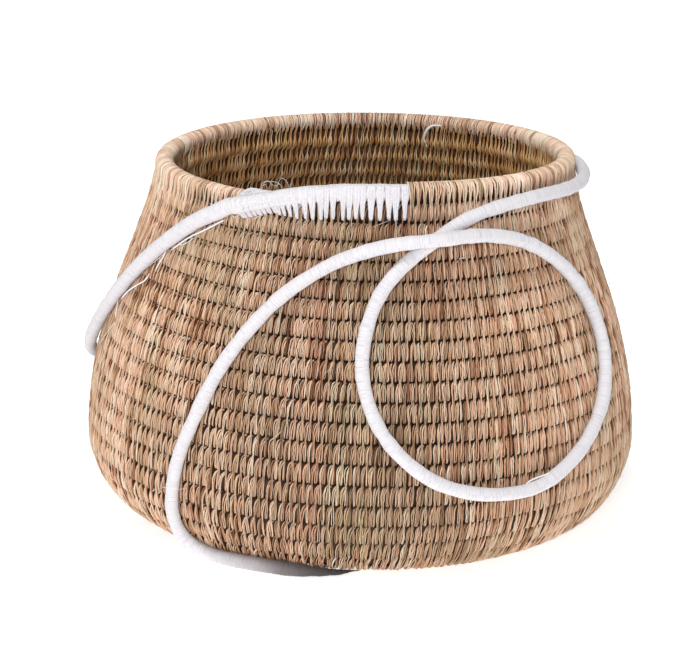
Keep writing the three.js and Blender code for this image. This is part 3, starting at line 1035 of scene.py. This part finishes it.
def white_route():
    """Middle line of the white coil and cord, its azimuths, its radii, and where the cord starts."""
    rim_points = 280
    softening = 24
    rim_azimuths = np.linspace(seam_azimuth, leaving_azimuth, rim_points)[:-1]
    leaving_height = float(on_rim(np.array(leaving_azimuth))[2])
    route = [(leaving_azimuth, leaving_height, 0), *left_and_back]
    route += [(azimuth - 360, height, lift) for azimuth, height, lift in front]
    unrolled = centripetal([(math.radians(a) * belly_radius, height, lift) for a, height, lift in route])
    spots, run = evenly(unrolled, thread_step)
    reach = white_radius + (cord_radius - white_radius) * smoothstep(run, 0, thinning_length)
    reach += (tip_radius - reach) * smoothstep(run, run[-1] - tip_length, run[-1])
    distance = reach + cord_clearance + spots[:, 2]
    wall_azimuths = np.degrees(spots[:, 0] / belly_radius)
    wall_along = along_beside(spots[:, 1], distance)
    middle = np.vstack([on_rim(rim_azimuths), wall_point(wall_azimuths, wall_along, -distance)])
    azimuths = np.concatenate([rim_azimuths, wall_azimuths])
    radii = np.concatenate([np.full(len(rim_azimuths), white_radius), reach])
    return softened(middle, softening), azimuths, radii, len(rim_azimuths)


white_middle, white_azimuths, white_radii, split = white_route()
white_run = run_of(white_middle)
lump_run = np.arange(0, white_run[-1] + lump_spacing, lump_spacing)
lumps = np.interp(white_run, lump_run, rng.normal(0, lump_size, len(lump_run)))
ridge_sizes = rng.uniform(-1, 1, len(white_run)) * thread_roughness
pointing = smoothstep(white_run, white_run[-1] - pointed_length, white_run[-1])
thread_sizes = (white_radii + lumps + ridge_sizes) * (1 - point_thinning * pointing)
thread_middle = white_middle + tip_rise * pointing[:, None] * np.array([0, 0, 1])


def white_rings(first, last):
    """Rings of thread round the white coil from one place to another of its middle line."""
    some = slice(first, last)
    return tube(thread_middle[some], white_azimuths[some], thread_sizes[some], thread_sides)


def white_cord():
    length = white_run[-1] - white_run[split]
    # The cord's end is painted with shadow where it lies under the belly
    threads_with_painted_shadow = cotton_material(
        "white_cotton_with_painted_shadow", coil_shades, length - painted_shadow_length, length)
    cord = Piece()
    cord.add(white_rings(split, len(white_run)))
    cord.build("white_cord_threads", [threads_with_painted_shadow], "white_cord", lowest=above_floor)


def white_stitch_rings():
    """White stitches over the white coil's side and down over the row below it, of three strands each."""
    stitch_lengths = (0.93, 1.04)
    stitch_widths = (0.85, 1.1)
    thread_wave = 0.08 * mm
    apart = 0.3
    white_fill = 0.42
    number = np.arange(len(white_stitches))
    azimuth = np.array(white_stitches, float)
    out, up = rolled(azimuth)
    edge = rim_edge(azimuth)
    below = row_edge(grass_turns - 1 + turns_from_seam(azimuth))
    shrunk = smoothstep(number, first_short_stitch, len(number))
    length = (edge - below - white_stitch_tip) * (1 - shrunk) + short_stitch * shrunk
    length = length * rng.uniform(*stitch_lengths, len(number))
    length += longer_by * smoothstep(number, first_longer_stitch, first_short_stitch)
    tail = white_stitch_tail + (last_stitch_tail - white_stitch_tail) * shrunk
    length = np.maximum(length, white_radius + tail - up)
    proud = white_radius + over_white_coil
    line = []
    for angle in angles_round_coil:
        turned = math.radians(angle)
        line.append((up + proud * math.sin(turned), np.maximum(out + proud * math.cos(turned), over_rim)))
    side_up, side_out = line[-1]
    for share in shares_down:
        hang = side_up + (-length - side_up) * share
        line.append((hang, np.maximum(side_out * (1 - share), over_row)))
    line.append((-length, np.full(len(number), -end_sunk)))
    along = edge[:, None] + np.stack([place for place, _ in line], axis=-1)
    depth = -np.stack([reach for _, reach in line], axis=-1)
    taper = np.array(white_stitch_taper)[None, :]
    width = white_stitch_width * taper * rng.uniform(*stitch_widths, (len(number), 1))
    width *= 1 + short_stitch_widening * shrunk[:, None]
    slant = short_stitch_slant * shrunk[:, None] * np.linspace(0, 1, along.shape[1])[None, :]
    made = []
    for strand in (-1, 0, 1):
        sideways = strand * width * apart + slant + rng.normal(0, thread_wave, along.shape)
        spot = azimuth[:, None] + np.degrees(sideways / neck_radius)
        points = wall_point(spot, along, depth - (middle_strand_rise if strand == 0 else 0))
        side = level_side(np.radians(spot))
        made.append(strand_rings(points, side, width * white_fill, white_strand_thickness))
    return np.concatenate(made)


def white_rim_coil():
    """The white coil on the rim, its stitches, and the thread wound round the rim where it rolls off."""
    coil = Piece()
    coil.add(white_rings(0, split + 1))
    coil.add(white_stitch_rings())
    wrap_azimuths = np.arange(first_white_wrap, last_white_wrap, -white_wrap_step)
    wrap_turns = grass_turns - 1 + turns_from_seam(wrap_azimuths)
    coil.add(stitches(wrap_turns, white_wrap, 1, wave=0.1, fill=1, spread=0))
    coil.build("white_rim_coil_threads", [cotton], "white_rim_coil")


white_cord()
white_rim_coil()


# Loose threads, blades and hairs

def along_wall(thickness, points, step=0.8 * mm):
    """A thin tube through points of azimuth, height and lift off the wall, finer towards its ends."""
    sides = 6
    end_length = 4 * mm
    end_size = 0.4
    thick = thickness * mm
    line = [(math.radians(a) * neck_radius, height * mm, lift * mm) for a, height, lift in points]
    line, run = evenly(centripetal(line), step)
    azimuth = np.degrees(line[:, 0] / neck_radius)
    distance = line[:, 2] + thick / 2
    spots = wall_point(azimuth, along_beside(line[:, 1], distance), -distance)
    from_end = np.minimum(run, run[-1] - run)
    sizes = thick / 2 * (end_size + (1 - end_size) * smoothstep(from_end, 0, end_length))
    return tube(spots, azimuth, sizes, sides)


def curl_rings():
    """The white end inside, thickest in its middle."""
    sides = 8
    step = 0.5 * mm
    azimuth, below = np.array(white_curl, float).T
    points = wall_point(azimuth, outline_length - below * mm, coil_thickness + curl_lift)
    points, run = evenly(centripetal(points), step)
    sizes = curl_end_radius + curl_swell * np.sin(np.pi * np.clip(run / run[-1], 0, 1)) ** 2
    return tube(points, np.full(len(points), curl_azimuth), sizes, sides)


def loose_threads():
    loose = Piece()
    for thickness, points in white_threads:
        loose.add(along_wall(thickness, points))
    loose.add(curl_rings())
    loose.build("loose_white_threads", [loose_cotton])


def hair_points():
    """Points of a hair of grass that stands a little off the wall, at a random place."""
    wall_radius = 180
    least_lift, arch = 0.3, 1.2
    start = rng.uniform(-180, 180)
    height = rng.uniform(*hair_heights)
    length = rng.uniform(*hair_lengths)
    slope = rng.normal(hair_slope, hair_slope_spread)
    points = []
    for share in (0, 0.35, 0.7, 1):
        azimuth = start + math.degrees(share * length * math.sin(slope) / wall_radius)
        rise = share * length * math.cos(slope)
        lift = least_lift + arch * math.sin(math.pi * share * rng.uniform(0.5, 1))
        points.append((azimuth, height + rise, lift))
    return points


def grass_hairs():
    blade_tone = 0.95
    hair_tones = (0.6, 1)
    hairs = Piece()
    for thickness, points in grass_blades:
        hairs.add(along_wall(thickness, points), [blade_tone])
    for _ in range(hair_count):
        points = hair_points()
        hair = along_wall(rng.uniform(*hair_thicknesses), points, step=1.2 * mm)
        hairs.add(hair, [rng.uniform(*hair_tones)])
    hairs.build("stray_grass_hairs", [grass])


loose_threads()
grass_hairs()


# Floor, light and camera

def area_light(name, place, aim, size, power):
    light = bpy.data.lights.new(name, "AREA")
    light.shape = "DISK"
    light.size = size
    light.energy = power
    obj = bpy.data.objects.new(name, light)
    obj.location = place
    obj.rotation_euler = (Vector(aim) - Vector(place)).to_track_quat("-Z", "Y").to_euler()
    bpy.context.scene.collection.objects.link(obj)


def studio():
    """A pale floor and world that glow softly, with one light in front and one above."""
    white = (1, 1, 1, 1)
    reach = 30
    corners = [(-reach, -reach, 0), (reach, -reach, 0), (reach, reach, 0), (-reach, reach, 0)]
    floor_mesh = bpy.data.meshes.new("floor")
    floor_mesh.from_pydata(corners, [], [(0, 1, 2, 3)])
    floor = bpy.data.objects.new("floor", floor_mesh)
    material, shader, *_ = new_material("floor")
    shader.inputs["Base Color"].default_value = (0.97, 0.97, 0.97, 1)
    shader.inputs["Roughness"].default_value = 0.9
    shader.inputs["Emission Color"].default_value = white
    shader.inputs["Emission Strength"].default_value = 0.65
    floor_mesh.materials.append(material)
    bpy.context.scene.collection.objects.link(floor)
    world = bpy.data.worlds.new("studio")
    world.use_nodes = True
    world.node_tree.nodes["Background"].inputs["Color"].default_value = white
    world.node_tree.nodes["Background"].inputs["Strength"].default_value = 0.32
    bpy.context.scene.world = world
    area_light("key", place=(-0.3, -2.35, 0.95), aim=(0, 0, 0.12), size=0.4, power=22)
    area_light("top", place=(-0.3, -0.5, 2.2), aim=(0, 0.05, 0.15), size=0.6, power=25)
    bpy.context.scene.view_settings.view_transform = "Standard"


def camera():
    pitch, yaw, roll = (math.radians(angle) for angle in (camera_pitch, camera_yaw, camera_roll))
    ahead = Vector((math.sin(yaw) * math.cos(pitch), math.cos(yaw) * math.cos(pitch), -math.sin(pitch)))
    level = Vector((math.cos(yaw), -math.sin(yaw), 0))
    upright = level.cross(ahead)
    right = math.cos(roll) * level + math.sin(roll) * upright
    up = -math.sin(roll) * level + math.cos(roll) * upright
    data = bpy.data.cameras.new("camera")
    data.sensor_fit = "HORIZONTAL"
    data.sensor_width = 36
    data.lens = focal_length / image_width * data.sensor_width
    data.clip_end = 100
    obj = bpy.data.objects.new("camera", data)
    matrix = Matrix((right, up, -ahead)).transposed().to_4x4()
    matrix.translation = camera_place
    obj.matrix_world = matrix
    bpy.context.scene.collection.objects.link(obj)
    bpy.context.scene.camera = obj


studio()
camera()
